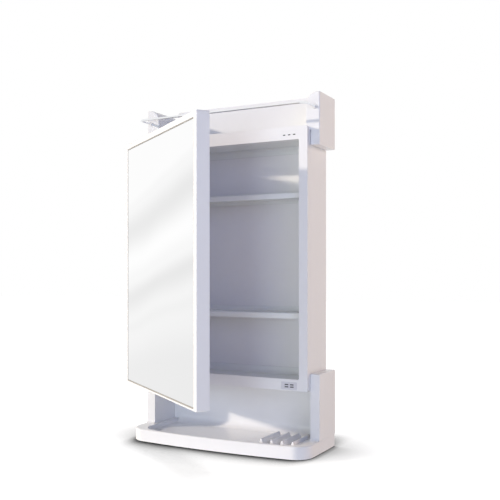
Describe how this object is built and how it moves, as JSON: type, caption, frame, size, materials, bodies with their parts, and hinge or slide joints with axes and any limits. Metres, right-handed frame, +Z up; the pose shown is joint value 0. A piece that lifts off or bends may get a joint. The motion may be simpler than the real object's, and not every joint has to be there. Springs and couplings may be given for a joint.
{
  "type": "medicine cabinet",
  "caption": "White plastic bathroom cabinet with a hinged mirror door, a gallery shelf with guard rail on top and an open soap tray below.",
  "frame": {"origin": "on the flat underside of the base, midway between its left and right sides and midway between its front and rear", "axes": "+X to the right seen from the front, +Y to the wall behind, +Z up"},
  "size_m": [0.3697, 0.2813, 0.5805],
  "materials": {
    "body": "glossy white moulded plastic",
    "interior": "glossy pale grey moulded plastic",
    "rail": "polished plating",
    "mirror": "silvered glass",
    "gasket": "grey-beige matt rubber",
    "catch": "satin grey plastic",
    "magnet": "dark matt",
    "fittings": "satin nylon",
    "steel": "zinc plated"
  },
  "bodies": {
    "cabinet": {"base_tray": "body", "base_plate": "body", "left_pillar": "body", "right_pillar": "body", "tray_back_panel": "body", "cabinet_shell": "body", "front_frame": "body", "left_end_panel": "body", "right_end_panel": "body", "gallery_back_panel": "body", "left_rail_ferrule": "body", "right_rail_ferrule": "body", "compartment_floor": "interior", "compartment_ceiling": "interior", "lower_shelf": "interior", "upper_shelf": "interior", "guard_rail": "rail", "lower_catch_housing": "catch", "upper_catch_housing": "body", "lower_catch_magnet": "magnet", "upper_catch_magnet": "magnet", "lower_hinge_bush": "fittings", "upper_hinge_bush": "fittings", "base_screw_1": "steel", "base_screw_2": "steel", "base_screw_3": "steel", "base_screw_4": "steel", "lower_shelf_peg_left_front": "fittings", "lower_shelf_peg_left_rear": "fittings", "lower_shelf_peg_right_front": "fittings", "lower_shelf_peg_right_rear": "fittings", "upper_shelf_peg_left_front": "fittings", "upper_shelf_peg_left_rear": "fittings", "upper_shelf_peg_right_front": "fittings", "upper_shelf_peg_right_rear": "fittings"},
    "door": {"door_frame": "body", "door_back_panel": "body", "lower_hinge_arm": "body", "upper_hinge_arm": "body", "mirror_glass": "mirror", "mirror_gasket": "gasket", "lower_hinge_pin": "steel", "upper_hinge_pin": "steel", "lower_strike_plate": "steel", "upper_strike_plate": "steel", "lower_strike_screw": "steel", "upper_strike_screw": "steel", "lower_arm_screw": "steel", "upper_arm_screw": "steel"}
  },
  "joints": [
    {"name": "door_hinge", "type": "hinge", "parent": "cabinet", "child": "door", "pos_m": [-0.157, 0.027, 0.3], "axis": [0, 0, -1], "range_deg": [-36.4, 70]}
  ]
}
